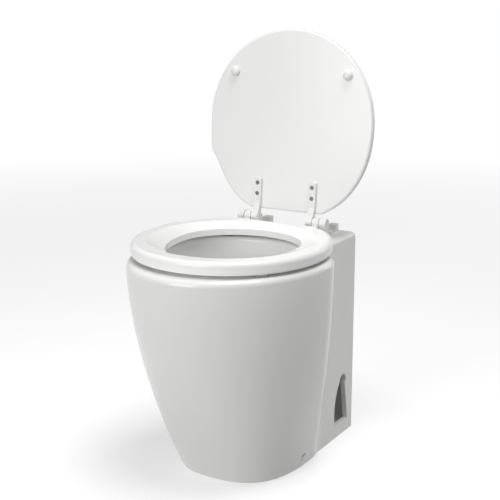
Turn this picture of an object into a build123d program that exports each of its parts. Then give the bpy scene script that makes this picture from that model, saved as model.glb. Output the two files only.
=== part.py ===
from build123d import *
import math
import os

# Electric toilet with a skirted china pan, in millimetres.
# +Z is up, the front of the pan faces -Y, the origin lies on the floor under the middle of the pan.

# Pan
PAN_HEIGHT = 411.0
PAN_BACK = 248.0
RIM_HALF = 187.0
BLOCK_HALF = 115.0
BASE_HALF = 118.5
WALL = 10.0
DECK_UNDER = PAN_HEIGHT - 15.0
FLARE_HEIGHT = 400.0
FLARE_POWER = 1.53
BASE_MID, RIM_MID = 60.0, -19.0
BASE_FRONT, RIM_FRONT = 170.0, 229.0
BASE_REAR, RIM_REAR = 101.0, 123.0
BASE_FULLNESS, REAR_FULLNESS = 2.8, 2.17
SPIGOT_Y, SPIGOT_LOW, SPIGOT_R, SPIGOT_BORE = 45.0, 122.0, 33.0, 24.0
# Bowl levels: height, half width, widest line, reach forward, reach back.
BOWL = (
    (PAN_HEIGHT + 1.0, 133.0, -16.0, 180.0, 108.0),
    (380.0, 132.0, -16.0, 179.0, 107.0),
    (320.0, 121.0, -14.0, 160.0, 103.0),
    (260.0, 96.0, -2.0, 115.0, 86.0),
    (215.0, 62.0, 22.0, 64.0, 58.0),
    (180.0, 34.0, 40.0, 32.0, 34.0),
    (160.0, SPIGOT_BORE, SPIGOT_Y, SPIGOT_BORE, SPIGOT_BORE),
)

# Hinge line, seat and lid
HINGE_Y, HINGE_Z = 150.0, 441.0
LID_LEAN = 4.0
LID_OPEN = 90.0 + LID_LEAN
SEAT_LOW, SEAT_TOP = 417.0, 440.0
SEAT_HALF, SEAT_REAR_GAP = 179.0, 22.0
LID_HALF, LID_REAR_GAP = 177.0, 15.0
LID_UNDER, LID_THICK = 8.0, 13.0
KNUCKLE_R, PIN_R = 9.0, 3.0
STRAP_X = (53.5, 67.0)
LEAF_X = (68.5, 82.0)
POST_X = (83.5, 97.0)
STRAP_SCREWS = (45.0, 66.0)
LEAF_SCREWS = (44.0, 62.0)
LID_BUFFERS = (122.0, 281.0)
SEAT_BUFFERS = ((127.0, -151.0, 50.0), (87.0, 86.0, -35.0))
BAR_X = (66.0, 82.5)
BOLT_X, BOLT_Y = 74.25, 224.0
BLOCK_TOP = 426.0

# Side fixings and floor frame
FIX_Y, FIX_Z = 15.0, 20.0
BOSS_X, SEAT_X = 106.2, 120.0
FRAME_T = 3.0
FLOOR_HOLES = ((84.0, 60.0), (84.0, 205.0))

# Pump and motor, on one upright axis
PUMP_Y = 150.0
CHAMBER_LOW, CHAMBER_TOP = 15.0, 92.0
CHAMBER_R, CHAMBER_BORE, FLANGE_R, FLANGE_SCREWS = 46.0, 41.5, 56.0, 51.0
INLET_Z, INLET_R, INLET_BORE = 48.0, 25.0, 21.0
PLATE_TOP = CHAMBER_TOP + 2.5
BODY_TOP = 130.0
BODY_R, BODY_BORE = 44.0, 38.5
PORT_X, PORT_Z = 26.0, 110.0
EAR_REACH, EAR_R = 46.0, 7.0
CAN_R, CAN_LOW, CAN_TOP = 40.0, 146.0, 232.0
SHAFT_R = 4.0
FOOT_REACH = 64.0

# Rinse valve and nozzle
VALVE_X, VALVE_Y, VALVE_Z = 80.0, 140.0, 308.0
NOZZLE_Z = 378.0
HOSE_IN, HOSE_OUT = 6.55, 9.5

ALONG_X = Rot(Y=90)
ALONG_Y = Rot(X=-90)


def rod(radius, length, bore=0.0):
    """Round bar that stands on its own origin."""
    bar = Cylinder(radius, length, align=(Align.CENTER, Align.CENTER, Align.MIN))
    if bore:
        bar -= Pos(0, 0, -1) * rod(bore, length + 2)
    return bar


def upright(x, y, low, high, radius, bore=0.0):
    """Round bar between two heights."""
    return Pos(x, y, low) * rod(radius, high - low, bore)


def level_y(x, z, near, far, radius, bore=0.0):
    """Round bar along Y between two depths."""
    return Pos(x, near, z) * ALONG_Y * rod(radius, far - near, bore)


def level_x(y, z, near, far, radius, bore=0.0):
    """Round bar along X between two sides."""
    return Pos(near, y, z) * ALONG_X * rod(radius, far - near, bore)


def block(x0, x1, y0, y1, z0, z1):
    """Box between its two corners."""
    middle = Pos((x0 + x1) / 2, (y0 + y1) / 2, (z0 + z1) / 2)
    return middle * Box(x1 - x0, y1 - y0, z1 - z0)


def side_profile(points, x0, x1):
    """Plate cut to a side outline of (y, z) points, between two x values."""
    with BuildSketch(Plane.YZ.offset(x0)) as sketch:
        with BuildLine():
            Polyline(*points, close=True)
        make_face()
    return extrude(sketch.sketch, x1 - x0)


def hinge_profile(points, x0, x1):
    """The same, from (forward of the hinge line, above it) points."""
    return side_profile([(HINGE_Y - d, HINGE_Z + h) for d, h in points], x0, x1)


def hex_bar(across, low, high, bore):
    """Hexagonal nut between two heights."""
    with BuildSketch(Plane.XY.offset(low)) as sketch:
        RegularPolygon(across / 2, 6, major_radius=False)
        Circle(bore, mode=Mode.SUBTRACT)
    return extrude(sketch.sketch, high - low)


def dome(radius, height):
    """Round head standing on its own origin, domed at the top."""
    head = rod(radius, height)
    return fillet(head.edges().sort_by(Axis.Z)[-1], height * 0.85)


def countersunk(head, shank, depth, length):
    """Countersunk screw that points up from its head at the origin."""
    cone = Cone(head, shank, depth, align=(Align.CENTER, Align.CENTER, Align.MIN))
    slots = block(-head * 0.6, head * 0.6, -0.5, 0.5, -1, 1.1)
    slots += block(-0.5, 0.5, -head * 0.6, head * 0.6, -1, 1.1)
    return cone + rod(shank, length) - slots


def both_sides(shape):
    """The shape and its mirror image across the middle of the pan."""
    return [shape, mirror(shape, Plane.YZ)]


def group(shapes):
    return Compound(children=list(shapes))


def ring_of(shape, count, start=0.0):
    """Copies turned about the pump axis."""
    axis = Pos(0, PUMP_Y, 0)
    return [axis * Rot(Z=start + k * 360.0 / count) * shape for k in range(count)]


def half_oval(half, mid, reach, fullness):
    """Half of a rounded outline from side to side; fullness 2 is an ellipse, more is squarer."""
    points = []
    for step in range(9):
        turn = math.radians(22.5 * step)
        across = abs(math.cos(turn)) ** (2 / fullness)
        along = abs(math.sin(turn)) ** (2 / fullness)
        points.append((math.copysign(half * across, math.cos(turn)), mid + reach * along))
    points[0], points[4], points[8] = (half, mid), (0.0, mid + reach), (-half, mid)
    way = math.copysign(1, reach)
    return Spline(*points, tangents=[(0, way), (0, -way)])


def egg(half, mid, front, rear, z):
    """Outline of two half ellipses sharing their widest line."""
    with BuildSketch(Plane.XY.offset(z)) as sketch:
        with BuildLine():
            EllipticalCenterArc((0, mid), half, rear, 0, arc_size=180)
            EllipticalCenterArc((0, mid), half, front, 180, arc_size=180)
        make_face()
    return sketch.sketch


def cover(half, mid, front, rear, z, cut, corner):
    """Outline of the seat or the lid: full at the rear and cut straight at the back."""
    with BuildSketch(Plane.XY.offset(z)) as sketch:
        with BuildLine():
            half_oval(half, mid, rear, REAR_FULLNESS)
            EllipticalCenterArc((0, mid), half, front, 180, arc_size=180)
        make_face()
        with Locations((0, cut + rear)):
            Rectangle(4 * half, 2 * rear, mode=Mode.SUBTRACT)
        fillet(sketch.vertices().sort_by(Axis.Y)[-2:], corner)
    return sketch.sketch


def skirt(z, inset):
    """Outline of the round front of the pan at one height."""
    share = 1.0 - (1.0 - min(z, FLARE_HEIGHT) / FLARE_HEIGHT) ** FLARE_POWER
    half = BASE_HALF + (RIM_HALF - BASE_HALF) * share - inset
    mid = BASE_MID + (RIM_MID - BASE_MID) * share
    front = BASE_FRONT + (RIM_FRONT - BASE_FRONT) * share - inset
    rear = BASE_REAR + (RIM_REAR - BASE_REAR) * share - inset
    fullness = BASE_FULLNESS + (2.0 - BASE_FULLNESS) * share
    with BuildSketch(Plane.XY.offset(z)) as sketch:
        with BuildLine():
            EllipticalCenterArc((0, mid), half, rear, 0, arc_size=180)
            half_oval(half, mid, -front, fullness)
        make_face()
    return sketch.sketch


def niche():
    """Opening for the hoses through the side of the rear block."""
    with BuildSketch(Plane.YZ.offset(BLOCK_HALF - 25)) as sketch:
        with BuildLine():
            Polyline((161, 50), (161, 25), (221, 25), (207, 104))
            ThreePointArc((207, 104), (196.5, 127), (184, 116))
            ThreePointArc((184, 116), (166, 84), (161, 50))
        make_face()
    return extrude(sketch.sketch, 45)


def make_pan():
    levels = (0, 45, 100, 160, 230, 310, FLARE_HEIGHT)
    shell = loft([skirt(z, 0) for z in levels])
    shell += extrude(skirt(FLARE_HEIGHT, 0), PAN_HEIGHT - FLARE_HEIGHT)
    rear = block(-BLOCK_HALF, BLOCK_HALF, BASE_MID, PAN_BACK, 0, PAN_HEIGHT)
    upright_edges = rear.edges().filter_by(Axis.Z)
    rear = fillet([e for e in upright_edges if e.center().Y > 0], 8)
    shell += rear
    crease = [e for e in shell.edges() if e.length > 350 and abs(abs(e.center().X) - BLOCK_HALF) < 1]
    crease = [e for e in crease if e.center().Y < PAN_BACK - 20]
    shell = fillet(crease, 22)
    shell = fillet(shell.faces().sort_by(Axis.Z)[-1].edges(), 10)

    # The hollow under the rim, less the bowl that hangs in it.
    bottom = (-5,) + levels[1:-1] + (DECK_UNDER - 2,)
    hollow = loft([skirt(z, WALL) for z in bottom])
    inner = BLOCK_HALF - WALL
    hollow += block(-inner, inner, BASE_MID + WALL, PAN_BACK - WALL, -5, DECK_UNDER)
    outer = [(z - 6, h + 11, m, f + 11, r + 11) for z, h, m, f, r in BOWL[1:]]
    outer.insert(0, (400, BOWL[0][1] + 11, BOWL[0][2], BOWL[0][3] + 11, BOWL[0][4] + 11))
    hung = loft([egg(h, m, f, r, z) for z, h, m, f, r in outer])
    hung += upright(0, SPIGOT_Y, SPIGOT_LOW, 165, SPIGOT_R)
    pan = shell - (hollow - hung)
    pan -= loft([egg(h, m, f, r, z) for z, h, m, f, r in BOWL])
    pan -= upright(0, SPIGOT_Y, SPIGOT_LOW - 1, 161, SPIGOT_BORE)
    opening = pan.faces().sort_by(Axis.Z)[-1].inner_wires()[0]
    pan = fillet(opening.edges(), 7)

    # Rear opening, side niches, fixing bosses and holes.
    arch = block(-58, 58, PAN_BACK - 30, PAN_BACK + 5, -5, 300)
    arch += level_y(0, 300, PAN_BACK - 30, PAN_BACK + 5, 58)
    pan -= arch
    for side in both_sides(niche()):
        pan -= side
    for side in both_sides(level_x(FIX_Y, FIX_Z, BOSS_X, 117, 13)):
        pan += side
    for side in both_sides(level_x(FIX_Y, FIX_Z, SEAT_X, 135, 8.2)):
        pan -= side
    for side in both_sides(level_x(FIX_Y, FIX_Z, 100, 135, 5)):
        pan -= side
    for side in both_sides(upright(BOLT_X, BOLT_Y, 380, 420, 5)):
        pan -= side
    return pan - level_y(VALVE_X, NOZZLE_Z, 45, 96, 12)


def seat_pocket(x0, x1):
    """Recess in the underside of the seat for one hinge leaf."""
    front = HINGE_Y - 72.3
    back = HINGE_Y - SEAT_REAR_GAP + 1
    plate = block(x0, x1, front, back, SEAT_LOW - 1, SEAT_LOW + 5.3)
    return plate + block(x0, x1, HINGE_Y - 30.3, back, SEAT_LOW - 1, HINGE_Z - 9.7)


def make_seat():
    cut = HINGE_Y - SEAT_REAR_GAP
    plan = cover(SEAT_HALF, -45.2, 179.7, 189.5, SEAT_LOW + 3, cut, 18)
    foot = cover(SEAT_HALF - 2, -45.2, 177.7, 187.5, SEAT_LOW, cut - 2, 17)
    seat = extrude(plan, SEAT_TOP - SEAT_LOW - 3)
    seat = fillet(seat.faces().sort_by(Axis.Z)[-1].edges(), 9)
    seat += extrude(foot, 3)
    seat -= extrude(egg(118, -16, 162, 104, SEAT_LOW - 1), 30)
    low = egg(116, -16, 160, 102, SEAT_LOW + 11)
    high = egg(156, -34, 163, 148, SEAT_TOP + 0.5)
    seat -= loft([low, high])
    for x, y, turn in SEAT_BUFFERS:
        for side in both_sides(upright(x, y, SEAT_LOW - 1, SEAT_LOW + 6, 3.05)):
            seat -= side
    for side in both_sides(seat_pocket(LEAF_X[0] - 0.3, LEAF_X[1] + 0.3)):
        seat -= side
    for reach in LEAF_SCREWS:
        middle = sum(LEAF_X) / 2
        for side in both_sides(upright(middle, HINGE_Y - reach, SEAT_LOW, SEAT_LOW + 12, 2.05)):
            seat -= side
    return seat


def make_seat_buffers():
    pads = []
    for x, y, turn in SEAT_BUFFERS:
        with BuildSketch() as sketch:
            SlotOverall(24, 13)
        pad = extrude(sketch.sketch, SEAT_LOW - PAN_HEIGHT)
        pad = fillet(pad.faces().sort_by(Axis.Z)[0].edges(), 2)
        pad += rod(3, SEAT_LOW - PAN_HEIGHT + 5)
        pads += both_sides(Pos(x, y, PAN_HEIGHT) * Rot(Z=turn) * pad)
    return group(pads)


def make_leaf():
    """Right-hand seat leaf: knuckle, neck and the plate let into the seat."""
    x0, x1 = LEAF_X
    leaf = level_x(HINGE_Y, HINGE_Z, x0, x1, KNUCKLE_R)
    neck = ((0, -4), (0, -9), (4, -12.5), (8, -14), (23, -14), (23, -10), (10, -6), (7, 0))
    leaf += hinge_profile(neck, x0, x1)
    leaf += hinge_profile(((22.5, -24), (72, -24), (72, -19), (30, -19), (30, -10), (22.5, -10)), x0, x1)
    leaf -= level_x(HINGE_Y, HINGE_Z, x0 - 1, x1 + 1, PIN_R + 0.05)
    for reach in LEAF_SCREWS:
        middle = sum(LEAF_X) / 2
        leaf -= upright(middle, HINGE_Y - reach, SEAT_LOW - 1, SEAT_LOW + 6, 2.1)
        cone = Cone(4.1, 2.1, 2.0, align=(Align.CENTER, Align.CENTER, Align.MIN))
        leaf -= Pos(middle, HINGE_Y - reach, SEAT_LOW) * cone
    return leaf


def make_leaf_screws():
    screws = []
    for reach in LEAF_SCREWS:
        screw = countersunk(4.0, 2.0, 2.0, 11.5)
        screws += both_sides(Pos(sum(LEAF_X) / 2, HINGE_Y - reach, SEAT_LOW) * screw)
    return group(screws)


def raised(shape):
    """Turns a lid piece from its closed place to where the open lid stands."""
    line = Pos(0, HINGE_Y, HINGE_Z)
    return line * Rot(X=-LID_OPEN) * line.inverse() * shape


def make_lid():
    low = HINGE_Z + LID_UNDER
    plan = cover(LID_HALF, -37.3, 177.6, 187.4, low, HINGE_Y - LID_REAR_GAP, 24)
    lid = extrude(plan, LID_THICK)
    faces = lid.faces().sort_by(Axis.Z)
    lid = fillet(faces[-1].edges() + faces[0].edges(), 4.5)
    for reach in STRAP_SCREWS:
        for side in both_sides(upright(sum(STRAP_X) / 2, HINGE_Y - reach, low - 1, low + 8.2, 2.05)):
            lid -= side
    for side in both_sides(upright(LID_BUFFERS[0], HINGE_Y - LID_BUFFERS[1], low - 1, low + 5, 2.55)):
        lid -= side
    return raised(lid)


def make_lid_buffers():
    height = HINGE_Z + LID_UNDER - SEAT_TOP - 0.2
    x, reach = LID_BUFFERS
    pad = Rot(X=180) * dome(10, height) + rod(2.5, 4.5)
    place = Pos(x, HINGE_Y - reach, HINGE_Z + LID_UNDER)
    return group(raised(side) for side in both_sides(place * pad))


def make_strap():
    """Right-hand lid strap: knuckle, neck, stop lug and the plate under the lid."""
    x0, x1 = STRAP_X
    strap = level_x(HINGE_Y, HINGE_Z, x0, x1, KNUCKLE_R)
    neck = ((0, 9), (9, 9), (14, 8), (27, 8), (27, 2), (20, 1), (12, -2.5), (6, -6.5), (0, -9))
    strap += hinge_profile(neck, x0, x1)
    strap += hinge_profile(((-3, 0), (-3, 14), (4, 14), (4, 0)), x0, x1)
    plate = hinge_profile(((25, 2), (76, 2), (76, 8), (25, 8)), x0 - 1, x1 + 0.8)
    tips = [e for e in plate.edges().filter_by(Axis.Z) if e.center().Y < HINGE_Y - 70]
    strap += fillet(tips, 3.5)
    strap -= level_x(HINGE_Y, HINGE_Z, x0 - 1, x1 + 1, PIN_R + 0.05)
    for reach in STRAP_SCREWS:
        place = Pos(sum(STRAP_X) / 2, HINGE_Y - reach, HINGE_Z + 2)
        strap -= place * rod(2.1, 8)
        strap -= place * Cone(4.4, 2.1, 2.3, align=(Align.CENTER, Align.CENTER, Align.MIN))
    return raised(strap)


def make_strap_screws():
    screws = []
    for reach in STRAP_SCREWS:
        screw = Pos(sum(STRAP_X) / 2, HINGE_Y - reach, HINGE_Z + 2) * countersunk(4.3, 2.0, 2.3, 14)
        screws += [raised(side) for side in both_sides(screw)]
    return group(screws)


def make_hinge_base():
    """Right-hand hinge base: foot plate, bar back to the bolt block, outer knuckle and lid stop."""
    x0, x1 = POST_X
    base = block(53, x1, 142, 170, PAN_HEIGHT, PAN_HEIGHT + 4)
    base += block(BAR_X[0], BAR_X[1], 160, 232, PAN_HEIGHT, PAN_HEIGHT + 4)
    base += block(BAR_X[0], BAR_X[1], 216, 232, PAN_HEIGHT, BLOCK_TOP)
    base = fillet(base.edges().filter_by(Axis.Z), 1.5)
    base += block(x0, x1, 142, 158, PAN_HEIGHT + 2, HINGE_Z)
    base += block(54, STRAP_X[1], 159.3, 168, PAN_HEIGHT + 2, 436.9)
    base += level_x(HINGE_Y, HINGE_Z, x0, x1, KNUCKLE_R + 0.5)
    base -= level_x(HINGE_Y, HINGE_Z, x0 - 1, x1 - 1, PIN_R)
    base -= upright(BOLT_X, BOLT_Y, PAN_HEIGHT - 1, 440, 3.2)
    return base - upright(BOLT_X, BOLT_Y, 417, 440, 6.3)


def make_bolts():
    bolt = hex_bar(10, 417, 421.5, 1.0) + upright(0, 0, 366, 421, 3)
    return group(both_sides(Pos(BOLT_X, BOLT_Y, 0) * bolt))


def wing_nut(top):
    """Wing nut whose upper face is at one height."""
    with BuildSketch(Plane.XZ.offset(-1.5)) as sketch:
        with BuildLine():
            Polyline((0, -9), (6, -9), (12, -12), (13, -10), (11, -4), (5, -1), (0, -1), close=True)
        make_face()
    wing = extrude(sketch.sketch, 3)
    nut = rod(5.5, 9) + Pos(0, 0, 9) * wing + Pos(0, 0, 9) * Rot(Z=180) * wing
    return Pos(0, 0, top - 9) * (nut - Pos(0, 0, -6) * rod(3.05, 20))


def make_floor_frame():
    frame = block(-104, 104, 0, 230, 0, FRAME_T)
    frame = fillet(frame.edges().filter_by(Axis.Z), 6)
    frame += block(-106, 106, 4, 28, 0, FRAME_T)
    for side in both_sides(block(103, 106, 4, 28, 0, 34)):
        frame += side
    for side in both_sides(level_x(FIX_Y, FIX_Z, 100, 110, 3.3)):
        frame -= side
    frame -= upright(0, PUMP_Y, -1, 5, 38)
    for x, y in FLOOR_HOLES:
        for side in both_sides(upright(x, y, -1, 5, 4.25)):
            frame -= side
    foot = upright(FOOT_REACH, 0, -1, 5, 2.6) + upright(FOOT_REACH, 0, -1, 1.6, 6.1)
    for hole in ring_of(foot, 4, 45):
        frame -= hole
    return frame


def make_elbow():
    """Rubber elbow from the bowl spigot to the pump inlet."""
    outer = sweep_elbow(INLET_R + 4.5)
    inner = sweep_elbow(INLET_R + 0.05)
    cuff = upright(0, SPIGOT_Y, 124, 150, SPIGOT_R + 4.5)
    cuff += Pos(0, SPIGOT_Y, 112) * Cone(
        INLET_R + 4.5, SPIGOT_R + 4.5, 12, align=(Align.CENTER, Align.CENTER, Align.MIN)
    )
    bore = upright(0, SPIGOT_Y, SPIGOT_LOW, 151, SPIGOT_R + 0.05)
    return outer + cuff - inner - bore


def sweep_elbow(radius):
    """Round bar along the centre line of the outlet elbow."""
    turn = 32.0
    corner_z = INLET_Z + turn
    with BuildLine(Plane.YZ) as line:
        Line((SPIGOT_Y, 125), (SPIGOT_Y, corner_z))
        RadiusArc((SPIGOT_Y, corner_z), (SPIGOT_Y + turn, INLET_Z), -turn)
        Line((SPIGOT_Y + turn, INLET_Z), (101, INLET_Z))
    with BuildSketch(Plane((0, SPIGOT_Y, 125), z_dir=(0, 0, -1))) as section:
        Circle(radius)
    return sweep(section.sketch, path=line.line)


def clamp(radius, width):
    """Hose clamp about its own upright axis, with its screw housing on +X."""
    band = rod(radius + 1.1, width, radius)
    housing = block(radius + 1.0, radius + 8.5, -7, 7, 1.5, width - 1.5)
    return band + fillet(housing.edges().filter_by(Axis.Z), 1.5)


def make_chamber():
    """Macerating chamber: cup with the inlet spigot, the joint flange and four feet."""
    cup = upright(0, PUMP_Y, CHAMBER_LOW, CHAMBER_TOP, CHAMBER_R)
    cup += upright(0, PUMP_Y, CHAMBER_TOP - 8, CHAMBER_TOP, FLANGE_R)
    cup += level_y(0, INLET_Z, 82, PUMP_Y - CHAMBER_BORE + 5, INLET_R)
    foot = block(CHAMBER_R - 3, FOOT_REACH, -8, 8, CHAMBER_LOW, CHAMBER_LOW + 6)
    foot += upright(FOOT_REACH, 0, CHAMBER_LOW, CHAMBER_LOW + 6, 9)
    for arm in ring_of(foot, 4, 45):
        cup += arm
    cup -= upright(0, PUMP_Y, CHAMBER_LOW + 5, CHAMBER_TOP + 1, CHAMBER_BORE)
    cup -= level_y(0, INLET_Z, 81, PUMP_Y - CHAMBER_BORE + 6, INLET_BORE)
    for hole in ring_of(upright(FOOT_REACH, 0, CHAMBER_LOW - 1, CHAMBER_LOW + 7, 2.6), 4, 45):
        cup -= hole
    for hole in ring_of(upright(FLANGE_SCREWS, 0, CHAMBER_TOP - 9, CHAMBER_TOP + 1, 2.1), 6):
        cup -= hole
    return cup


def make_shear_plate():
    plate = upright(0, PUMP_Y, CHAMBER_TOP, PLATE_TOP, FLANGE_R, 8.5)
    for hole in ring_of(upright(26, 0, CHAMBER_TOP - 1, PLATE_TOP + 1, 5), 12):
        plate -= hole
    for hole in ring_of(upright(FLANGE_SCREWS, 0, CHAMBER_TOP - 1, PLATE_TOP + 1, 2.1), 6):
        plate -= hole
    return plate


def make_pump_body():
    """Impeller housing with the seal bore, the motor bosses and the outlet port."""
    port_end = 213
    body = upright(0, PUMP_Y, PLATE_TOP, BODY_TOP, BODY_R)
    body += upright(0, PUMP_Y, PLATE_TOP, PLATE_TOP + 7.5, FLANGE_R)
    body += level_y(PORT_X, PORT_Z, PUMP_Y, port_end, 15.4)
    body += level_y(PORT_X, PORT_Z, port_end - 6, port_end, 24)
    for boss in ring_of(upright(EAR_REACH, 0, 112, BODY_TOP, EAR_R), 4, 45):
        body += boss
    body -= upright(0, PUMP_Y, PLATE_TOP - 1, 120, BODY_BORE)
    body -= upright(0, PUMP_Y, 119, BODY_TOP + 1, 11)
    body -= level_y(PORT_X, PORT_Z, PUMP_Y, port_end + 1, 12)
    for hole in ring_of(upright(EAR_REACH, 0, 114, BODY_TOP + 1, 2.1), 4, 45):
        body -= hole
    for hole in ring_of(upright(FLANGE_SCREWS, 0, PLATE_TOP - 1, PLATE_TOP + 8, 2.1), 6):
        body -= hole
    for hole in port_screws(level_y(0, 19, port_end - 7, port_end + 1, 1.9)):
        body -= hole
    return body


def port_screws(shape):
    """Three copies of a shape about the outlet port."""
    port = Pos(PORT_X, 0, PORT_Z)
    return [port * Rot(Y=120 * k) * shape for k in range(3)]


def make_chamber_screws():
    screw = upright(FLANGE_SCREWS, 0, CHAMBER_TOP - 7.5, PLATE_TOP + 7.5, 2.05)
    screw += upright(FLANGE_SCREWS, 0, PLATE_TOP + 7.5, PLATE_TOP + 11, 3.6)
    return group(ring_of(screw, 6))


def make_cutter():
    """Two bevelled knives on a hub, under the shear plate."""
    low, high = CHAMBER_TOP - 8, CHAMBER_TOP - 1
    hub = upright(0, 0, low, high, 9)
    with BuildSketch(Plane.XY.offset(high - 3)) as sketch:
        with BuildLine():
            Polyline((0, -7), (36, -3), (38, 5), (24, 7), (0, 7), close=True)
        make_face()
    knife = extrude(sketch.sketch, 3)
    hub += knife
    hub += Rot(Z=180) * knife
    return Pos(0, PUMP_Y, 0) * (hub - upright(0, 0, low - 1, high + 1, SHAFT_R))


def make_impeller():
    """Open impeller with five swept-back vanes."""
    disc = upright(0, 0, 114, 117, 35) + upright(0, 0, PLATE_TOP + 3, 117, 8)
    with BuildSketch(Plane.XY.offset(99)) as sketch:
        with BuildLine():
            ThreePointArc((6, 0), (20, 4), (34, 0))
            Line((34, 0), (34, -2.5))
            ThreePointArc((34, -2.5), (20, 1.2), (6, -3))
            Line((6, -3), (6, 0))
        make_face()
    vane = extrude(sketch.sketch, 16)
    for k in range(5):
        disc += Rot(Z=72 * k) * vane
    return Pos(0, PUMP_Y, 0) * (disc - upright(0, 0, 90, 120, SHAFT_R))


def make_end_bell():
    bell = upright(0, PUMP_Y, BODY_TOP, CAN_LOW, CAN_R)
    for ear in ring_of(upright(EAR_REACH, 0, BODY_TOP, BODY_TOP + 8, EAR_R), 4, 45):
        bell += ear
    bell -= upright(0, PUMP_Y, BODY_TOP - 1, CAN_LOW + 1, 5.5)
    bell -= upright(0, PUMP_Y, CAN_LOW - 7, CAN_LOW + 1, 11)
    for hole in ring_of(upright(EAR_REACH, 0, BODY_TOP - 1, BODY_TOP + 9, 2.3), 4, 45):
        bell -= hole
    return bell


def brush(gap):
    """Block on +X that runs on the commutator, with its own clearance."""
    return block(14.2 - gap, 26 + gap, -3.5 - gap, 3.5 + gap, 221 - gap, 229 + gap)


def make_end_cap():
    """Rear cap with the bearing seat, the brush posts and the cable gland."""
    cap = upright(0, 0, CAN_TOP, CAN_TOP + 18, CAN_R)
    cap = fillet(cap.edges().sort_by(Axis.Z)[-1], 4)
    cap -= upright(0, 0, CAN_TOP - 1, CAN_TOP + 6, 35)
    for k in range(2):
        post = block(18, 31, -6.5, 6.5, 218, CAN_TOP + 8) - brush(0.0)
        cap += Rot(Z=180 * k) * post
    cap -= upright(0, 0, CAN_TOP + 4, CAN_TOP + 13, 11)
    cap += upright(0, 24, CAN_TOP + 16, CAN_TOP + 28, 7)
    cap -= upright(0, 24, CAN_TOP + 3, CAN_TOP + 30, 3)
    return Pos(0, PUMP_Y, 0) * cap


def make_brushes():
    return group(ring_of(brush(0.0), 2))


def make_magnets():
    arc = upright(0, 0, 156, 212, CAN_R - 2.5, 31)
    arc &= block(12, 45, -45, 45, 150, 220)
    return group(ring_of(arc, 2))


def make_armature():
    """Laminated core with twelve winding slots."""
    core = upright(0, 0, 160, 206, 29.5)
    for k in range(12):
        slot = block(17, 27, -2.5, 2.5, 155, 210) + block(25, 31, -1, 1, 155, 210)
        core -= Rot(Z=30 * k) * slot
    return Pos(0, PUMP_Y, 0) * (core - upright(0, 0, 155, 210, SHAFT_R))


def make_commutator():
    ring = upright(0, 0, 216, 234, 14, SHAFT_R)
    for k in range(12):
        ring -= Rot(Z=30 * k) * block(12.5, 15, -0.4, 0.4, 215, 235)
    return Pos(0, PUMP_Y, 0) * ring


def make_bearings():
    low = upright(0, PUMP_Y, CAN_LOW - 7, CAN_LOW, 11, SHAFT_R + 0.05)
    return group([low, Pos(0, 0, CAN_TOP + 6 - CAN_LOW + 7) * low])


def make_motor_screws():
    screw = upright(EAR_REACH, 0, 115, BODY_TOP + 8, 2.05)
    screw += upright(EAR_REACH, 0, BODY_TOP + 8, BODY_TOP + 12, 4)
    return group(ring_of(screw, 4, 45))


def make_check_valve():
    """Rubber flange with a duckbill that closes against back flow."""
    flange = level_y(0, 0, 213, 215, 23.5)
    for k in range(3):
        flange -= Rot(Y=120 * k) * level_y(0, 19, 212, 216, 2.0)
    lips = Plane((0, 215, 0), z_dir=(0, 1, 0))
    tips = Plane((0, 238, 0), z_dir=(0, 1, 0))
    outside = loft([lips * Circle(9.8), tips * Ellipse(9.0, 2.2)])
    inside = loft([lips * Circle(8.2), tips * Ellipse(7.8, 0.6)])
    valve = flange + outside - inside - level_y(0, 0, 212, 215.2, 8.2)
    return Pos(PORT_X, 0, PORT_Z) * valve


def make_discharge_spigot():
    """Hose spigot with a flange and three barbs."""
    spigot = level_y(0, 0, 215, 221, 23.5) + level_y(0, 0, 221, 246, 12.7)
    for y in (229, 236, 243):
        barb = Cone(13.7, 12.7, 3, align=(Align.CENTER, Align.CENTER, Align.MIN))
        spigot += Pos(0, y, 0) * ALONG_Y * barb
    spigot -= level_y(0, 0, 214, 247, 10.4)
    for k in range(3):
        spigot -= Rot(Y=120 * k) * level_y(0, 19, 214, 222, 2.0)
    return Pos(PORT_X, 0, PORT_Z) * spigot


def make_feet_nuts():
    nuts = [Pos(FOOT_REACH, 0, 0) * hex_bar(8, CHAMBER_LOW + 6, CHAMBER_LOW + 10, 2.5)]
    return group(ring_of(nuts[0], 4, 45))


def make_valve_body():
    """Upright valve body: inlet barb below, outlet spigot above, side seat for the plunger."""
    body = upright(0, 0, 290, 326, 12) + upright(0, 0, 262, 346, 6.5)
    for z in (264, 271, 278):
        barb = Cone(6.5, 7.2, 3, align=(Align.CENTER, Align.CENTER, Align.MIN))
        body += Pos(0, 0, z) * barb
    body += block(-10, 10, 0, 14, 296, 320)
    body -= upright(0, 0, 261, 302, 4) + upright(0, 0, 314, 347, 4) + upright(0, 0, 300, 316, 2.3)
    body -= level_x(0, VALVE_Z, -14, -6, 4.45) + level_x(0, VALVE_Z, -8, 4, 2.55)
    for z in (301, 315):
        body -= level_y(0, z, 8, 15, 1.9)
    return Pos(VALVE_X, VALVE_Y, 0) * body


def make_core_tube():
    """Closed tube that guides the plunger, with the coil nut at its end."""
    tube = level_x(0, VALVE_Z, -46, -12, 5.5) - level_x(0, VALVE_Z, -43, -11, 4.45)
    tube += level_x(0, VALVE_Z, -49, -45.5, 8)
    return Pos(VALVE_X, VALVE_Y, 0) * (tube - upright(0, 0, 290, 326, 12))


def make_coil():
    """Moulded coil with its two flat terminals."""
    coil = block(-45, -16, -15, 15, VALVE_Z - 15, VALVE_Z + 15)
    coil = fillet(coil.edges().filter_by(Axis.X), 4)
    coil -= level_x(0, VALVE_Z, -46, -15, 5.55)
    for y in (-6, 6):
        coil += block(-32, -26, y - 0.5, y + 0.5, VALVE_Z + 14, VALVE_Z + 24)
    return Pos(VALVE_X, VALVE_Y, 0) * coil


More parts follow.
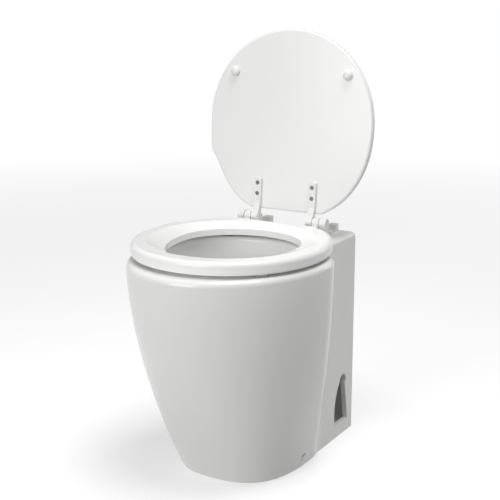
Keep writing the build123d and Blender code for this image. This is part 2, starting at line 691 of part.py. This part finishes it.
def make_plunger():
    plunger = level_x(0, VALVE_Z, -32, -8.2, 4.4) + level_x(0, VALVE_Z, -9, 3.5, 2.5)
    return Pos(VALVE_X, VALVE_Y, 0) * plunger


def make_valve_bracket():
    """Bent plate clamped under the deck by the right-hand hinge bolt."""
    near, top = VALVE_Y + 14, DECK_UNDER - 2
    plate = block(66, 98, near, near + 2, 294, top)
    plate += block(66, 98, near, 236, top - 2, top)
    plate -= upright(BOLT_X, BOLT_Y, top - 3, top + 1, 3.3)
    for z in (301, 315):
        plate -= level_y(VALVE_X, z, near - 1, near + 3, 2.1)
    return plate


def make_valve_screws():
    near = VALVE_Y + 14
    screws = []
    for z in (301, 315):
        screws.append(level_y(VALVE_X, z, near - 5, near + 2, 1.85) + level_y(VALVE_X, z, near + 2, near + 4.5, 3.5))
    return group(screws)


def sweep_hose(radius):
    """Round bar along the centre line of the rinse hose."""
    bend = NOZZLE_Z - 345
    with BuildLine(Plane.YZ.offset(VALVE_X)) as line:
        Line((VALVE_Y, 328), (VALVE_Y, 345))
        RadiusArc((VALVE_Y, 345), (VALVE_Y - bend, NOZZLE_Z), -bend)
        Line((VALVE_Y - bend, NOZZLE_Z), (94, NOZZLE_Z))
    with BuildSketch(Plane((VALVE_X, VALVE_Y, 328), z_dir=(0, 0, 1))) as section:
        Circle(radius)
    return sweep(section.sketch, path=line.line)


def make_hose_clips():
    clip = rod(HOSE_OUT + 0.9, 7, HOSE_OUT) + block(HOSE_OUT, HOSE_OUT + 4, -3, 3, 0, 7)
    clip -= block(HOSE_OUT - 1, HOSE_OUT + 5, -0.5, 0.5, -1, 8)
    upper = Pos(VALVE_X, VALVE_Y, 332) * clip
    return group([upper, Pos(VALVE_X, 97, NOZZLE_Z) * ALONG_Y * Rot(Z=-90) * clip])


def make_nozzle():
    nozzle = level_y(0, 0, 57, 106, 6.5, 5) + level_y(0, 0, 90.5, 93, 9.5, 5)
    return Pos(VALVE_X, 0, NOZZLE_Z) * nozzle


left = Plane.YZ
leaf, strap, base = make_leaf(), make_strap(), make_hinge_base()
bush = level_x(FIX_Y, FIX_Z, BOSS_X, SEAT_X, 5, 3.1)
side_screw = level_x(FIX_Y, FIX_Z, 95, SEAT_X + 0.5, 3) + Pos(SEAT_X, FIX_Y, FIX_Z) * ALONG_X * dome(7.5, 5)
side_nut = Pos(98, FIX_Y, FIX_Z) * ALONG_X * hex_bar(10, 0, 5, 3.05)
washer = upright(BOLT_X, BOLT_Y, DECK_UNDER - 2, DECK_UNDER, 11, 3.2)
cap = upright(BOLT_X, BOLT_Y, 422, BLOCK_TOP, 6.25)
pin = level_x(HINGE_Y, HINGE_Z, STRAP_X[0] + 0.5, POST_X[1] - 1, PIN_R)
nuts = [Pos(BOLT_X, BOLT_Y, 0) * wing_nut(DECK_UNDER - 4), Pos(-BOLT_X, BOLT_Y, 0) * wing_nut(DECK_UNDER - 2)]
stud = upright(FOOT_REACH, 0, 0, CHAMBER_LOW + 13, 2.5) + upright(FOOT_REACH, 0, 0, 1.5, 6)

PARTS = {
    "ceramic_pan": make_pan(),
    "seat_ring": make_seat(),
    "seat_buffers": make_seat_buffers(),
    "seat_leaf_right": leaf,
    "seat_leaf_left": mirror(leaf, left),
    "seat_leaf_screws": make_leaf_screws(),
    "lid_panel": make_lid(),
    "lid_buffers": make_lid_buffers(),
    "lid_strap_right": strap,
    "lid_strap_left": mirror(strap, left),
    "lid_strap_screws": make_strap_screws(),
    "hinge_base_right": base,
    "hinge_base_left": mirror(base, left),
    "hinge_pins": group(both_sides(pin)),
    "hinge_bolts": make_bolts(),
    "hinge_caps": group(both_sides(cap)),
    "hinge_washers": group(both_sides(washer)),
    "hinge_wing_nuts": group(nuts),
    "side_fixing_screws": group(both_sides(side_screw)),
    "side_fixing_bushes": group(both_sides(bush)),
    "floor_frame": make_floor_frame(),
    "frame_nuts": group(both_sides(side_nut)),
    "outlet_elbow": make_elbow(),
    "elbow_clamp_upper": Pos(0, SPIGOT_Y, 132) * clamp(SPIGOT_R + 4.5, 12),
    "elbow_clamp_lower": Pos(0, 84, INLET_Z) * ALONG_Y * clamp(INLET_R + 4.5, 12),
    "pump_chamber": make_chamber(),
    "shear_plate": make_shear_plate(),
    "pump_body": make_pump_body(),
    "chamber_screws": make_chamber_screws(),
    "cutter": make_cutter(),
    "impeller": make_impeller(),
    "cutter_nut": Pos(0, PUMP_Y, 0) * hex_bar(13, CHAMBER_TOP - 14.5, CHAMBER_TOP - 8, SHAFT_R),
    "rotor_shaft": upright(0, PUMP_Y, CHAMBER_TOP - 17, CAN_TOP + 12.5, SHAFT_R),
    "armature_core": make_armature(),
    "commutator": make_commutator(),
    "shaft_seal": upright(0, PUMP_Y, 121, 129, 11, SHAFT_R + 0.05),
    "motor_bearings": make_bearings(),
    "motor_magnets": make_magnets(),
    "motor_brushes": make_brushes(),
    "motor_end_bell": make_end_bell(),
    "motor_can": upright(0, PUMP_Y, CAN_LOW, CAN_TOP, CAN_R, CAN_R - 2.5),
    "motor_end_cap": make_end_cap(),
    "motor_screws": make_motor_screws(),
    "check_valve": make_check_valve(),
    "discharge_spigot": make_discharge_spigot(),
    "discharge_screws": group(port_screws(level_y(0, 19, 208, 221, 1.85) + level_y(0, 19, 221, 223.5, 3.4))),
    "pump_feet": group(ring_of(upright(FOOT_REACH, 0, FRAME_T, CHAMBER_LOW, 9, 2.7), 4, 45)),
    "foot_studs": group(ring_of(stud, 4, 45)),
    "foot_nuts": make_feet_nuts(),
    "valve_body": make_valve_body(),
    "valve_core_tube": make_core_tube(),
    "valve_coil": make_coil(),
    "valve_plunger": make_plunger(),
    "valve_bracket": make_valve_bracket(),
    "valve_screws": make_valve_screws(),
    "rinse_hose": sweep_hose(HOSE_OUT) - sweep_hose(HOSE_IN),
    "hose_clips": make_hose_clips(),
    "rinse_nozzle": make_nozzle(),
    "rinse_grommet": level_y(VALVE_X, NOZZLE_Z, 60, 90.5, 12, 6.5),
}

os.makedirs("parts", exist_ok=True)
for node, shape in PARTS.items():
    export_step(shape, f"parts/{node}.step")
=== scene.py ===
"""Looks for the electric toilet: finishes of every surface, the studio and the camera."""

import logging
import math
from dataclasses import dataclass, field
from enum import Enum

import bpy
from mathutils import Euler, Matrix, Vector


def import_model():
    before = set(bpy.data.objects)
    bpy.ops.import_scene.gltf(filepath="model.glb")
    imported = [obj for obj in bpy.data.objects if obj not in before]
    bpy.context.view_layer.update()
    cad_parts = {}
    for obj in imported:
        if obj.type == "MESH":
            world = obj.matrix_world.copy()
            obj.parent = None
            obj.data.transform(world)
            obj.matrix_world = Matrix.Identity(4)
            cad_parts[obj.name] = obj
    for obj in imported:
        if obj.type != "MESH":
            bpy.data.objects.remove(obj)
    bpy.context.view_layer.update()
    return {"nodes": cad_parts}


log = logging.getLogger("toilet")

MM = 0.001

Colour = tuple[float, float, float]
Place = tuple[float, float, float]


class Wire:
    """One output of a shader node, with arithmetic that adds Math nodes."""

    def __init__(self, sheet: "NodeSheet", socket: bpy.types.NodeSocket) -> None:
        """Keeps the socket and the sheet that it belongs to.

        Args:
            sheet: The node sheet that new Math nodes go on.
            socket: The output that this wire starts from.
        """
        self.sheet = sheet
        self.socket = socket

    def _maths(self, operation: str, first: "Wire | float", second: "Wire | float") -> "Wire":
        """Adds one Math node and returns its result."""
        return self.sheet.node("ShaderNodeMath", {"operation": operation}, {0: first, 1: second})

    def __add__(self, other: "Wire | float") -> "Wire":
        """This value plus another."""
        return self._maths("ADD", self, other)

    __radd__ = __add__

    def __sub__(self, other: "Wire | float") -> "Wire":
        """This value less another."""
        return self._maths("SUBTRACT", self, other)

    def __rsub__(self, other: "Wire | float") -> "Wire":
        """Another value less this one."""
        return self._maths("SUBTRACT", other, self)

    def __mul__(self, other: "Wire | float") -> "Wire":
        """This value times another."""
        return self._maths("MULTIPLY", self, other)

    __rmul__ = __mul__

    def __pow__(self, other: "Wire | float") -> "Wire":
        """This value to a power."""
        return self._maths("POWER", self, other)


class NodeSheet:
    """The node tree of one material, with the plain helpers that the finishes use."""

    def __init__(self, name: str) -> None:
        """Makes the material and empties its tree down to the shader.

        Args:
            name: The name of the finish.
        """
        self.material = bpy.data.materials.new(name)
        self.material.use_nodes = True
        self.tree = self.material.node_tree
        self.tree.nodes.clear()
        self.output = self.tree.nodes.new("ShaderNodeOutputMaterial")
        self.shader = self.tree.nodes.new("ShaderNodeBsdfPrincipled")
        self.tree.links.new(self.shader.outputs["BSDF"], self.output.inputs["Surface"])
        self.object_place: Wire | None = None

    def node(
        self,
        kind: str,
        settings: dict[str, object],
        inputs: dict[object, object],
        result: object = 0,
    ) -> Wire:
        """Adds any node.

        Args:
            kind: The node's type name.
            settings: Properties set first; "stops" fills a colour ramp.
            inputs: Values or wires by socket name or number.
            result: The output that is returned.

        Returns:
            The chosen output as a wire.
        """
        made = self.tree.nodes.new(kind)
        for key, value in settings.items():
            if key == "stops":
                self._fill_ramp(made, value)
            else:
                setattr(made, key, value)
        for key, value in inputs.items():
            if isinstance(value, Wire):
                self.tree.links.new(value.socket, made.inputs[key])
            else:
                made.inputs[key].default_value = value
        return Wire(self, made.outputs[result])

    @staticmethod
    def _fill_ramp(made: bpy.types.Node, stops: list[tuple[float, Colour]]) -> None:
        """Sets the stops of a colour ramp."""
        ramp = made.color_ramp
        while len(ramp.elements) < len(stops):
            ramp.elements.new(0.5)
        for element, (position, colour) in zip(ramp.elements, stops):
            element.position = position
            element.color = (*colour, 1.0)

    def place(self) -> Wire:
        """The point's place in the object, made once for each material."""
        if self.object_place is None:
            self.object_place = self.node("ShaderNodeTexCoord", {}, {}, "Object")
        return self.object_place

    def stretched(self, scale: Place) -> Wire:
        """The place, stretched along its axes."""
        return self.node("ShaderNodeMapping", {}, {"Vector": self.place(), "Scale": scale})

    def cloud(self, scale: float, detail: float = 3.0, stretch: Place | None = None) -> Wire:
        """Soft noise from 0 to 1 at a number of patches a metre."""
        vector = self.place() if stretch is None else self.stretched(stretch)
        values = {"Vector": vector, "Scale": scale, "Detail": detail}
        return self.node("ShaderNodeTexNoise", {}, values, 0)

    def ramp(self, wire: Wire, stops: list[tuple[float, Colour]]) -> Wire:
        """A value turned into colours."""
        return self.node("ShaderNodeValToRGB", {"stops": stops}, {0: wire}, 0)

    def limited(self, wire: Wire, low: float, high: float, out_low: float, out_high: float) -> Wire:
        """A value taken from one range to another and held there."""
        values = {0: wire, 1: low, 2: high, 3: out_low, 4: out_high}
        return self.node("ShaderNodeMapRange", {"clamp": True}, values)

    def blend(self, share: "Wire | float", first: object, second: object) -> Wire:
        """Two colours mixed by a share."""
        settings = {"data_type": "RGBA"}
        made = {0: share, 6: self._colour(first), 7: self._colour(second)}
        return self.node("ShaderNodeMix", settings, made, 2)

    @staticmethod
    def _colour(value: object) -> object:
        """A plain colour with its alpha, or a wire as it is."""
        return value if isinstance(value, Wire) else (*value, 1.0)

    def bump(self, height: Wire, strength: float, depth: float, under: Wire | None = None) -> Wire:
        """Surface relief from a height, over another relief if given."""
        values: dict[object, object] = {"Height": height, "Strength": strength, "Distance": depth}
        if under is not None:
            values["Normal"] = under
        return self.node("ShaderNodeBump", {}, values)

    def surface(self, **sockets: object) -> None:
        """Sets or links the shader's sockets, with underscores for spaces."""
        for key, value in sockets.items():
            socket = self.shader.inputs[key.replace("_", " ")]
            if isinstance(value, Wire):
                self.tree.links.new(value.socket, socket)
            elif isinstance(value, tuple) and len(value) == 3 and socket.type == "RGBA":
                socket.default_value = (*value, 1.0)
            else:
                socket.default_value = value


@dataclass(frozen=True)
class Finish:
    """A finish with a name; each kind says how it is laid."""

    name: str

    def lay(self, sheet: NodeSheet) -> None:
        """Builds the nodes of the finish."""
        raise NotImplementedError

    def make(self) -> bpy.types.Material:
        """Makes the material, once for each name."""
        found = bpy.data.materials.get(self.name)
        if found is not None:
            return found
        sheet = NodeSheet(self.name)
        self.lay(sheet)
        return sheet.material


@dataclass(frozen=True)
class GlazedChina(Finish):
    """Vitreous china under a clear glaze, with the slow waves that a fired glaze has."""

    body: Colour = (0.87, 0.87, 0.86)
    warm: Colour = (0.85, 0.85, 0.835)

    def lay(self, sheet: NodeSheet) -> None:
        """Builds the nodes of the glaze."""
        drift = sheet.cloud(3.2, 2.0)
        speck = sheet.limited(sheet.cloud(900.0, 1.0), 0.74, 0.80, 0.0, 0.25)
        colour = sheet.blend(drift, self.body, self.warm)
        colour = sheet.blend(speck, colour, (0.55, 0.54, 0.50))
        wave = sheet.bump(sheet.cloud(26.0, 1.0), 0.10, 0.0012)
        peel = sheet.bump(sheet.cloud(240.0, 2.0), 0.05, 0.0003, wave)
        sheet.surface(
            Base_Color=colour,
            Roughness=sheet.limited(sheet.cloud(11.0, 4.0), 0.2, 0.8, 0.10, 0.17),
            IOR=1.52,
            Normal=peel,
        )


@dataclass(frozen=True)
class MouldedPlastic(Finish):
    """Moulded plastic or sprayed enamel with a light orange peel."""

    colour: Colour
    shade: Colour
    gloss: tuple[float, float]
    peel_scale: float = 420.0
    peel: float = 0.08
    depth: float = 0.0002

    def lay(self, sheet: NodeSheet) -> None:
        """Builds the nodes of the plastic."""
        colour = sheet.blend(sheet.cloud(9.0, 3.0), self.colour, self.shade)
        smear = sheet.limited(sheet.cloud(34.0, 5.0), 0.25, 0.75, *self.gloss)
        relief = sheet.bump(sheet.cloud(self.peel_scale, 2.0), self.peel, self.depth)
        sheet.surface(Base_Color=colour, Roughness=smear, IOR=1.49, Normal=relief)


@dataclass(frozen=True)
class Rubber(Finish):
    """Moulded rubber with dust in its pores."""

    colour: Colour
    dust: Colour
    roughness: tuple[float, float] = (0.55, 0.78)

    def lay(self, sheet: NodeSheet) -> None:
        """Builds the nodes of the rubber."""
        bloom = sheet.limited(sheet.cloud(45.0, 6.0), 0.45, 0.75, 0.0, 0.6)
        relief = sheet.bump(sheet.cloud(1500.0, 2.0), 0.25, 0.0002)
        sheet.surface(
            Base_Color=sheet.blend(bloom, self.colour, self.dust),
            Roughness=sheet.limited(sheet.cloud(80.0, 4.0), 0.3, 0.7, *self.roughness),
            Normal=relief,
        )


@dataclass(frozen=True)
class ClearRubber(Finish):
    """Cloudy see-through silicone."""

    colour: Colour = (0.55, 0.56, 0.53)

    def lay(self, sheet: NodeSheet) -> None:
        """Builds the nodes of the silicone."""
        cloudy = sheet.blend(sheet.cloud(160.0, 4.0), self.colour, (0.68, 0.69, 0.66))
        sheet.surface(
            Base_Color=cloudy,
            Roughness=sheet.limited(sheet.cloud(200.0, 3.0), 0.2, 0.8, 0.18, 0.34),
            IOR=1.41,
            Transmission_Weight=0.35,
            Normal=sheet.bump(sheet.cloud(500.0, 2.0), 0.1, 0.0002),
        )


class Grain(Enum):
    """The way the brush marks of a metal run."""

    ALONG_X = (1.0, 40.0, 40.0)
    ALONG_Y = (40.0, 1.0, 40.0)
    ALONG_Z = (40.0, 40.0, 1.0)
    NONE = (1.0, 1.0, 1.0)


@dataclass(frozen=True)
class Metal(Finish):
    """Bare or plated metal with brush marks, stains and fine scratches."""

    colour: Colour
    stain: Colour
    gloss: tuple[float, float]
    grain: Grain = Grain.NONE
    fineness: float = 60.0

    def lay(self, sheet: NodeSheet) -> None:
        """Builds the nodes of the metal."""
        marks = sheet.cloud(self.fineness, 4.0, self.grain.value)
        stains = sheet.limited(sheet.cloud(38.0, 6.0), 0.42, 0.78, 0.0, 0.7)
        sheet.surface(
            Base_Color=sheet.blend(stains, self.colour, self.stain),
            Metallic=1.0,
            Roughness=sheet.limited(marks + stains * 0.3, 0.2, 1.0, *self.gloss),
            Normal=sheet.bump(marks, 0.12, 0.0002),
        )


@dataclass(frozen=True)
class PaintedMetal(Finish):
    """Stoved paint with a fine texture and a little dust."""

    colour: Colour
    dust: Colour
    gloss: tuple[float, float] = (0.32, 0.5)

    def lay(self, sheet: NodeSheet) -> None:
        """Builds the nodes of the paint."""
        settled = sheet.limited(sheet.cloud(30.0, 6.0), 0.5, 0.8, 0.0, 0.35)
        sheet.surface(
            Base_Color=sheet.blend(settled, self.colour, self.dust),
            Roughness=sheet.limited(sheet.cloud(90.0, 4.0), 0.3, 0.7, *self.gloss),
            Normal=sheet.bump(sheet.cloud(1100.0, 2.0), 0.22, 0.0002),
        )


@dataclass(frozen=True)
class Laminations(Finish):
    """Stacked electrical steel, with its sheets as fine rings along the shaft."""

    pitch: float = 0.0012

    def lay(self, sheet: NodeSheet) -> None:
        """Builds the nodes of the stack."""
        height = sheet.node("ShaderNodeSeparateXYZ", {}, {0: sheet.place()}, "Z")
        rings = sheet.node("ShaderNodeMath", {"operation": "PINGPONG"}, {0: height, 1: self.pitch})
        line = sheet.limited(rings, 0.0, self.pitch, 0.0, 1.0)
        sheet.surface(
            Base_Color=sheet.blend(line, (0.16, 0.13, 0.11), (0.42, 0.40, 0.38)),
            Metallic=1.0,
            Roughness=sheet.limited(sheet.cloud(70.0, 4.0), 0.3, 0.7, 0.35, 0.55),
            Normal=sheet.bump(line, 0.35, 0.0003),
        )


CHINA = GlazedChina("white_glazed_china")
SEAT_ENAMEL = MouldedPlastic("seat_enamel", (0.90, 0.90, 0.89), (0.88, 0.88, 0.865), (0.09, 0.16))
LID_ENAMEL = MouldedPlastic("lid_enamel", (0.83, 0.828, 0.815), (0.80, 0.80, 0.785), (0.32, 0.42))
HINGE_NYLON = MouldedPlastic("white_hinge_nylon", (0.84, 0.84, 0.83), (0.80, 0.80, 0.785), (0.22, 0.34))
PAD_WHITE = MouldedPlastic("white_buffer", (0.84, 0.84, 0.83), (0.80, 0.80, 0.79), (0.25, 0.36))
PAD_CLEAR = ClearRubber("cloudy_silicone")
SCREW_DARK = Metal("dark_plated_screw", (0.20, 0.195, 0.185), (0.08, 0.075, 0.07), (0.25, 0.42))
CHROME = Metal("plated_head", (0.44, 0.44, 0.44), (0.24, 0.24, 0.23), (0.10, 0.22), fineness=200.0)
STEEL = Metal("stainless_steel", (0.60, 0.59, 0.57), (0.40, 0.38, 0.35), (0.22, 0.42))
STEEL_BRUSHED = Metal("brushed_sheet_steel", (0.62, 0.61, 0.59), (0.44, 0.42, 0.40), (0.25, 0.45), Grain.ALONG_X)
SHAFT_STEEL = Metal("ground_shaft_steel", (0.64, 0.63, 0.61), (0.5, 0.48, 0.46), (0.12, 0.26), Grain.ALONG_Z)
BLACK_RUBBER = Rubber("black_rubber", (0.022, 0.022, 0.023), (0.08, 0.078, 0.074))
PUMP_PLASTIC = MouldedPlastic("black_pump_plastic", (0.030, 0.031, 0.033), (0.042, 0.043, 0.045), (0.36, 0.52), 900.0, 0.3)
MOTOR_PAINT = PaintedMetal("black_motor_paint", (0.035, 0.037, 0.040), (0.14, 0.135, 0.125))
CAST_ALLOY = Metal("cast_alloy", (0.55, 0.55, 0.54), (0.34, 0.33, 0.32), (0.38, 0.58), fineness=700.0)
COPPER = Metal("turned_copper", (0.70, 0.36, 0.22), (0.38, 0.18, 0.10), (0.20, 0.38), Grain.ALONG_X)
BRASS = Metal("machined_brass", (0.72, 0.54, 0.26), (0.46, 0.32, 0.14), (0.20, 0.36), fineness=150.0)
CARBON = Rubber("carbon_block", (0.05, 0.05, 0.052), (0.10, 0.10, 0.10), (0.35, 0.55))
FERRITE = Rubber("ferrite_magnet", (0.075, 0.074, 0.073), (0.13, 0.13, 0.125), (0.45, 0.6))
NYLON_WHITE = MouldedPlastic("white_nylon", (0.78, 0.78, 0.75), (0.70, 0.70, 0.67), (0.36, 0.5), 700.0, 0.2)
STACK = Laminations("laminated_core")


def clear_selection() -> None:
    """Deselects everything, so that the next operator acts on its own piece only."""
    for thing in list(bpy.context.selected_objects):
        thing.select_set(False)


@dataclass
class Dressing:
    """A set of CAD nodes that share a sub-assembly, with the finish of each."""

    title: str
    finishes: dict[str, Finish]

    def dress(self, nodes: dict[str, bpy.types.Object]) -> None:
        """Gives each node its finish.

        Args:
            nodes: The CAD nodes by name.
        """
        for name, finish in self.finishes.items():
            piece = nodes[name]
            piece.data.materials.clear()
            piece.data.materials.append(finish.make())
            log.info("%s: %s in %s", self.title, name, finish.name)


@dataclass
class Studio:
    """Pale floor, even light from all round and three soft boxes."""

    floor_reach: float = 400.0
    near: float = 0.5
    far: float = 4.0
    lift: float = 0.28
    ambient: float = 0.353
    lights: list[tuple[str, Place, Place, tuple[float, float], float]] = field(
        default_factory=lambda: [
            ("overhead", (0.5, -0.1, 2.6), (0.0, 0.0, 0.4), (1.2, 1.2), 31.6),
            ("front", (-0.6, -3.4, 1.2), (0.0, 0.0, 0.35), (2.2, 1.6), 53.0),
            ("rear", (1.5, 3.2, 1.4), (0.0, 0.0, 0.35), (1.2, 1.8), 8.4),
        ]
    )

    def build(self) -> None:
        """Makes the floor, the surrounding light and the soft boxes."""
        self._floor()
        self._world()
        for name, spot, aim, size, watts in self.lights:
            self._soft_box(name, spot, aim, size, watts)
        bpy.context.scene.view_settings.view_transform = "Standard"
        log.info("studio: floor and %d soft boxes", len(self.lights))

    def _floor(self) -> None:
        """Makes the pale floor, which brightens into the distance as a lit sweep does."""
        clear_selection()
        bpy.ops.mesh.primitive_plane_add(size=2 * self.floor_reach, location=(0, 0, 0))
        floor = bpy.context.object
        floor.name = "studio_floor"
        sheet = NodeSheet("pale_floor")
        distance = sheet.node("ShaderNodeVectorMath", {"operation": "LENGTH"}, {0: sheet.place()}, 1)
        away = sheet.limited(distance, self.near, self.far, 0.0, 1.0)
        lit = (self.lift, self.lift, self.lift)
        sheet.surface(
            Base_Color=sheet.blend(away, (0.90, 0.90, 0.90), (0.0, 0.0, 0.0)),
            Roughness=0.9,
            Specular_IOR_Level=0.0,
            Emission_Color=sheet.blend(away, lit, (1.0, 1.0, 1.0)),
            Emission_Strength=1.0,
        )
        floor.data.materials.append(sheet.material)
        floor.visible_diffuse = False

    def _world(self) -> None:
        """Sets the even light from all round."""
        world = bpy.data.worlds.new("studio")
        world.use_nodes = True
        back = world.node_tree.nodes["Background"]
        back.inputs["Color"].default_value = (1.0, 1.0, 1.0, 1.0)
        back.inputs["Strength"].default_value = self.ambient
        bpy.context.scene.world = world

    @staticmethod
    def _soft_box(name: str, spot: Place, aim: Place, size: tuple[float, float], watts: float) -> None:
        """Makes one rectangular soft light aimed at a point."""
        lamp = bpy.data.lights.new(name, "AREA")
        lamp.shape = "RECTANGLE"
        lamp.size, lamp.size_y = size
        lamp.energy = watts
        holder = bpy.data.objects.new(name, lamp)
        holder.location = spot
        way = Vector(aim) - Vector(spot)
        holder.rotation_euler = way.to_track_quat("-Z", "Y").to_euler()
        holder.visible_camera = False
        bpy.context.scene.collection.objects.link(holder)


@dataclass
class ProductCamera:
    """The camera that took the picture, solved from the outlines in it."""

    spot: Place = (0.9802, -1.62916, 0.86546)
    azimuth: float = 30.64
    down: float = 13.49
    lens: float = 76.41

    def build(self) -> None:
        """Places the camera and makes it the scene's own."""
        data = bpy.data.cameras.new("product_camera")
        data.lens = self.lens
        data.sensor_width = 36.0
        camera = bpy.data.objects.new("product_camera", data)
        camera.location = self.spot
        turn = (math.radians(90 - self.down), 0.0, math.radians(self.azimuth))
        camera.rotation_euler = Euler(turn)
        bpy.context.scene.collection.objects.link(camera)
        bpy.context.scene.camera = camera
        log.info("camera at %s", self.spot)


def sub_assemblies() -> list[Dressing]:
    """The finishes of the toilet's pieces, sub-assembly by sub-assembly."""
    return [
        Dressing("pan", {"ceramic_pan": CHINA}),
        Dressing(
            "seat",
            {
                "seat_ring": SEAT_ENAMEL,
                "seat_buffers": PAD_CLEAR,
                "seat_leaf_right": HINGE_NYLON,
                "seat_leaf_left": HINGE_NYLON,
                "seat_leaf_screws": STEEL,
            },
        ),
        Dressing(
            "lid",
            {
                "lid_panel": LID_ENAMEL,
                "lid_buffers": PAD_WHITE,
                "lid_strap_right": HINGE_NYLON,
                "lid_strap_left": HINGE_NYLON,
                "lid_strap_screws": SCREW_DARK,
            },
        ),
        Dressing(
            "hinges",
            {
                "hinge_base_right": HINGE_NYLON,
                "hinge_base_left": HINGE_NYLON,
                "hinge_pins": SHAFT_STEEL,
                "hinge_bolts": STEEL,
                "hinge_caps": HINGE_NYLON,
                "hinge_washers": BLACK_RUBBER,
                "hinge_wing_nuts": NYLON_WHITE,
            },
        ),
        Dressing(
            "floor fixing",
            {
                "side_fixing_screws": CHROME,
                "side_fixing_bushes": NYLON_WHITE,
                "floor_frame": STEEL_BRUSHED,
                "frame_nuts": STEEL,
            },
        ),
        Dressing(
            "pump",
            {
                "outlet_elbow": BLACK_RUBBER,
                "elbow_clamp_upper": STEEL,
                "elbow_clamp_lower": STEEL,
                "pump_chamber": PUMP_PLASTIC,
                "shear_plate": STEEL_BRUSHED,
                "pump_body": PUMP_PLASTIC,
                "chamber_screws": STEEL,
                "cutter": SHAFT_STEEL,
                "impeller": PUMP_PLASTIC,
                "cutter_nut": STEEL,
                "check_valve": BLACK_RUBBER,
                "discharge_spigot": PUMP_PLASTIC,
                "discharge_screws": STEEL,
                "pump_feet": BLACK_RUBBER,
                "foot_studs": STEEL,
                "foot_nuts": STEEL,
            },
        ),
        Dressing(
            "motor",
            {
                "rotor_shaft": SHAFT_STEEL,
                "armature_core": STACK,
                "commutator": COPPER,
                "shaft_seal": BLACK_RUBBER,
                "motor_bearings": SHAFT_STEEL,
                "motor_magnets": FERRITE,
                "motor_brushes": CARBON,
                "motor_end_bell": CAST_ALLOY,
                "motor_can": MOTOR_PAINT,
                "motor_end_cap": PUMP_PLASTIC,
                "motor_screws": STEEL,
            },
        ),
        Dressing(
            "rinse line",
            {
                "valve_body": BRASS,
                "valve_core_tube": STEEL,
                "valve_coil": PUMP_PLASTIC,
                "valve_plunger": SHAFT_STEEL,
                "valve_bracket": STEEL_BRUSHED,
                "valve_screws": STEEL,
                "rinse_hose": BLACK_RUBBER,
                "hose_clips": STEEL,
                "rinse_nozzle": NYLON_WHITE,
                "rinse_grommet": BLACK_RUBBER,
            },
        ),
    ]


def main() -> None:
    """Loads the frame, dresses every piece and sets up the studio."""
    logging.basicConfig(level=logging.INFO, format="%(name)s: %(message)s")
    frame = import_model()
    ProductCamera().build()
    Studio().build()
    for dressing in sub_assemblies():
        dressing.dress(frame["nodes"])


if __name__ == "__main__":
    main()
